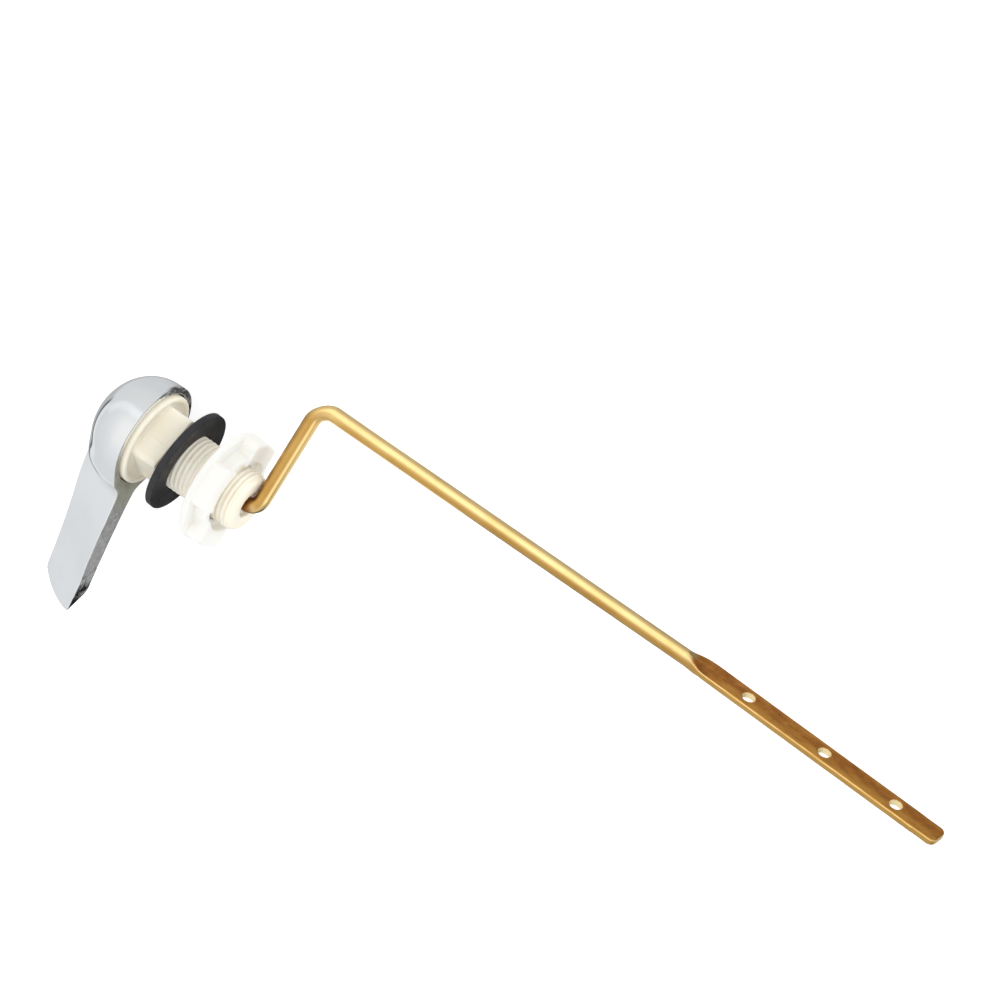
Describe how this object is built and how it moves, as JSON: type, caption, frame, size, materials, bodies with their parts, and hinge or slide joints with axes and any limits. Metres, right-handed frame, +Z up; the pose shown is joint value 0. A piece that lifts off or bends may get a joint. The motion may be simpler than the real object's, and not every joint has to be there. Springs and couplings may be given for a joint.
{
  "type": "cistern lever",
  "caption": "Side-mounted cistern flush lever: chromed dome handle on a brass cranked rod, turning in a flanged plastic bush that clamps to the wall with a rubber washer and a lugged nut.",
  "frame": {"origin": "on the turning axis, in the flange face that seats on the outside of the cistern wall", "axes": "+X out along the handle's blade, +Y along the turning axis into the cistern, +Z up"},
  "size_m": [0.1026, 0.2943, 0.0378],
  "materials": {
    "chrome": "bright chrome plate on a zinc casting",
    "cream_plastic": "natural cream moulding, semi-gloss",
    "black_rubber": "matt black rubber",
    "white_plastic": "off-white moulding, satin",
    "brass": "drawn brass, lightly tarnished"
  },
  "bodies": {
    "bush": {"bush": "cream_plastic", "washer": "black_rubber"},
    "lever": {"handle": "chrome", "rod": "brass"},
    "nut": {"nut": "white_plastic"}
  },
  "joints": [
    {"name": "lever_turn", "type": "hinge", "parent": "bush", "child": "lever", "pos_m": [0, 0, 0], "axis": [0, 1, 0], "range_deg": [0, 45]},
    {"name": "nut_travel", "type": "slide", "parent": "bush", "child": "nut", "axis": [0, -1, 0], "range_m": [0, 0.0098]}
  ]
}
